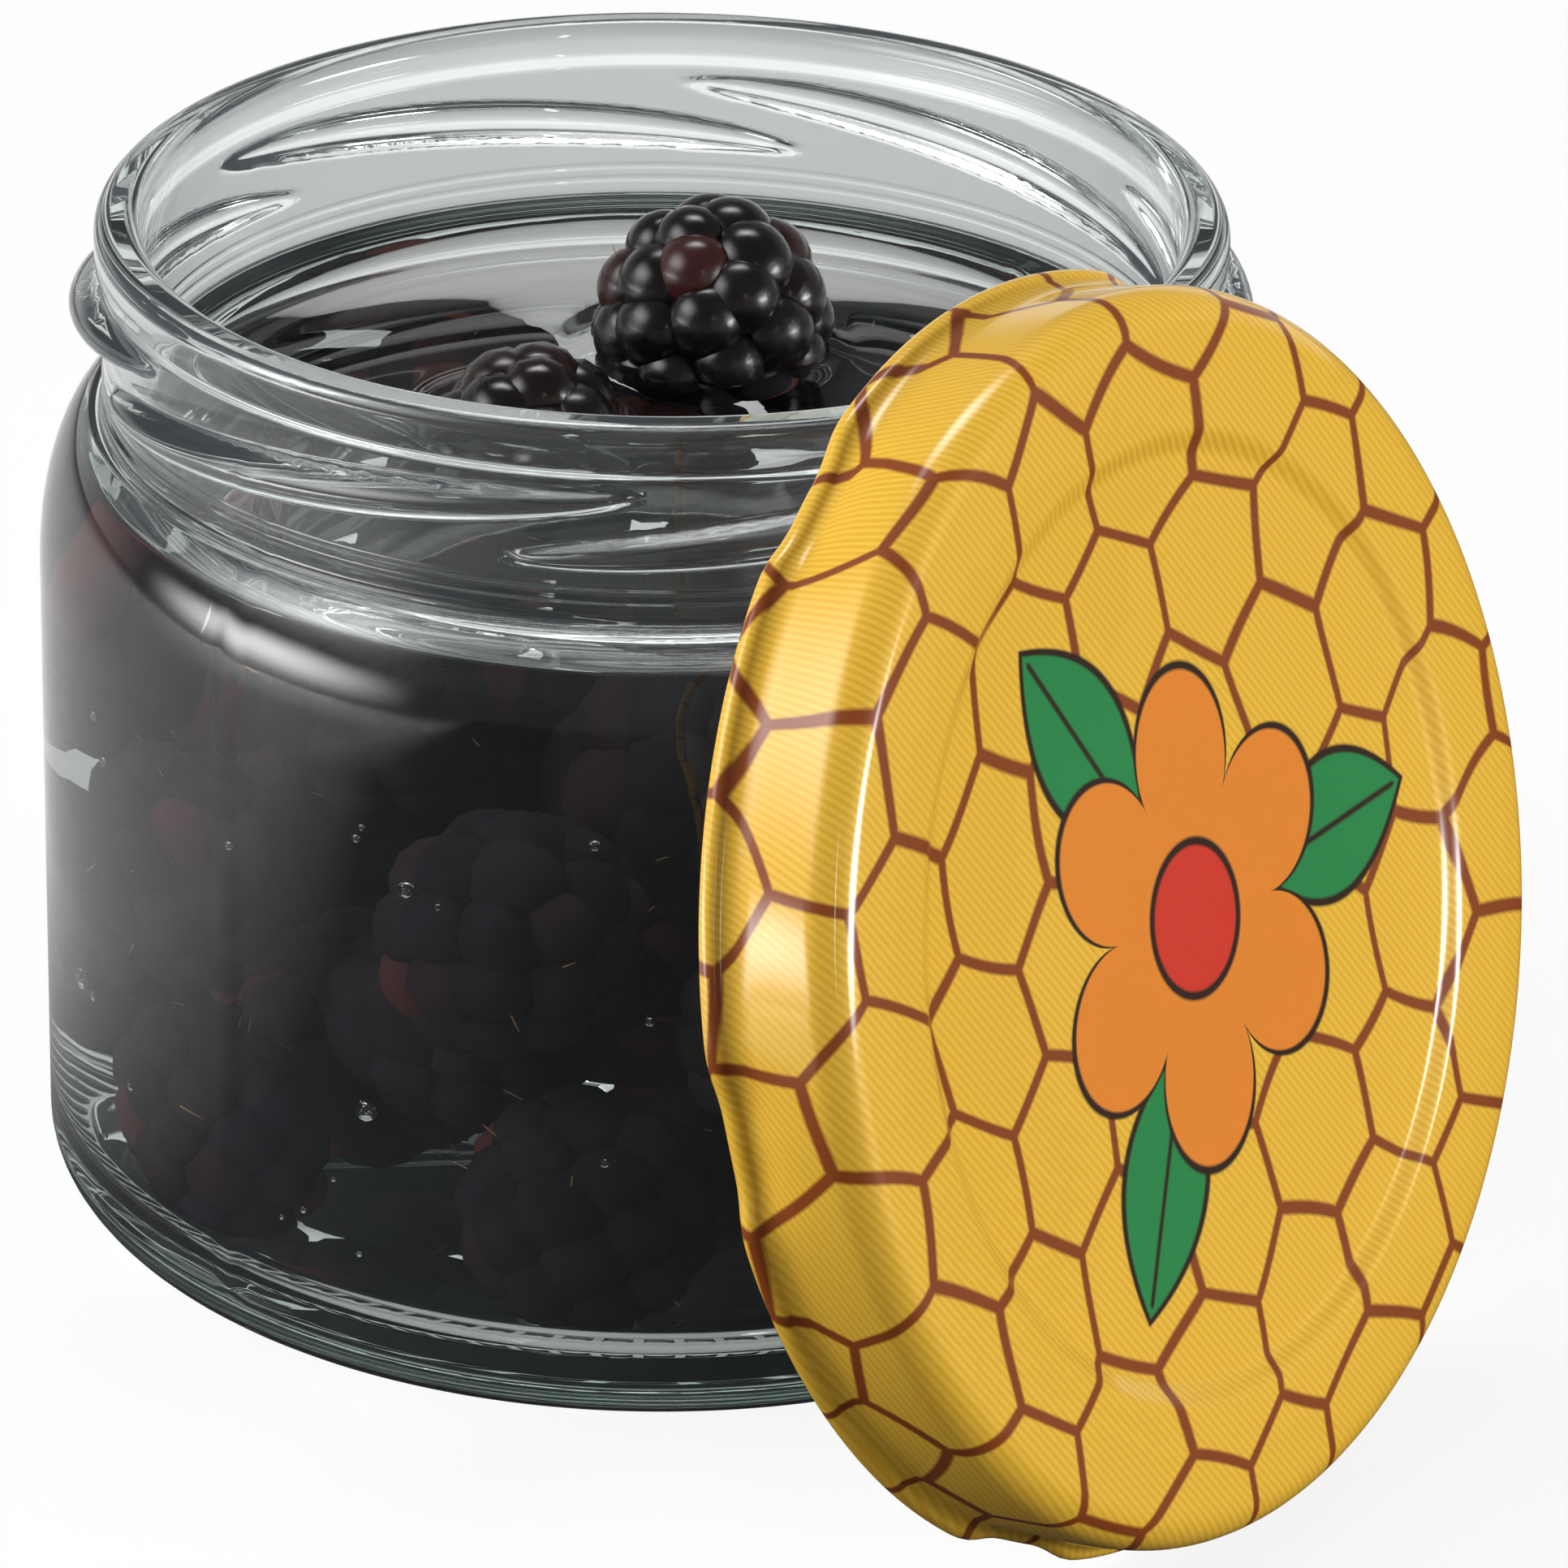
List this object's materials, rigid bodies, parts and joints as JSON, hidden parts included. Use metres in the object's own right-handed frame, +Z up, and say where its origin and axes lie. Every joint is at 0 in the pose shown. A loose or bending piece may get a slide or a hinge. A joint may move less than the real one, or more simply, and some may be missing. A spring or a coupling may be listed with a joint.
{
  "type": "glass jar",
  "caption": "Short wide-mouthed preserving jar of clear glass, filled with dark berries, its lug twist-off tinplate lid taken off and leaning against it.",
  "frame": {"origin": "on the jar's axis at the plane that the jar stands on", "axes": "+Z up along the jar's axis; the lid leans at the front right, towards +X and -Y"},
  "size_m": [0.1024, 0.1251, 0.0833],
  "materials": {
    "flint_glass": "clear pressed glass, glossy",
    "lacquered_tinplate": "golden lacquer over tinplate, printed with an irregular honeycomb, glossy",
    "sealing_compound": "off-white soft compound, satin",
    "berry_skin": "near-black purple fruit skin, wet and glossy"
  },
  "bodies": {
    "jar": {"glass_jar": "flint_glass", "berry_01": "berry_skin", "berry_02": "berry_skin", "berry_03": "berry_skin", "berry_04": "berry_skin", "berry_05": "berry_skin", "berry_06": "berry_skin", "berry_07": "berry_skin", "berry_08": "berry_skin", "berry_09": "berry_skin", "berry_10": "berry_skin", "berry_11": "berry_skin", "berry_12": "berry_skin", "berry_13": "berry_skin", "berry_14": "berry_skin", "berry_15": "berry_skin", "berry_16": "berry_skin", "berry_17": "berry_skin", "berry_18": "berry_skin", "berry_19": "berry_skin", "berry_20": "berry_skin", "berry_21": "berry_skin", "berry_22": "berry_skin", "berry_23": "berry_skin", "berry_24": "berry_skin", "berry_25": "berry_skin", "berry_26": "berry_skin", "berry_27": "berry_skin", "berry_28": "berry_skin", "berry_29": "berry_skin", "berry_30": "berry_skin", "berry_31": "berry_skin", "berry_32": "berry_skin", "berry_33": "berry_skin", "berry_34": "berry_skin", "berry_35": "berry_skin", "berry_36": "berry_skin"},
    "lid": {"lid_shell": "lacquered_tinplate", "sealing_ring": "sealing_compound"},
    "top_berry": {"top_berry": "berry_skin"}
  },
  "joints": [
    {"name": "lid_lift", "type": "slide", "parent": "jar", "child": "lid", "axis": [0, 0, 1], "range_m": [0, 0.11]},
    {"name": "top_berry_lift", "type": "slide", "parent": "jar", "child": "top_berry", "axis": [0, 0, 1], "range_m": [0, 0.06]}
  ]
}
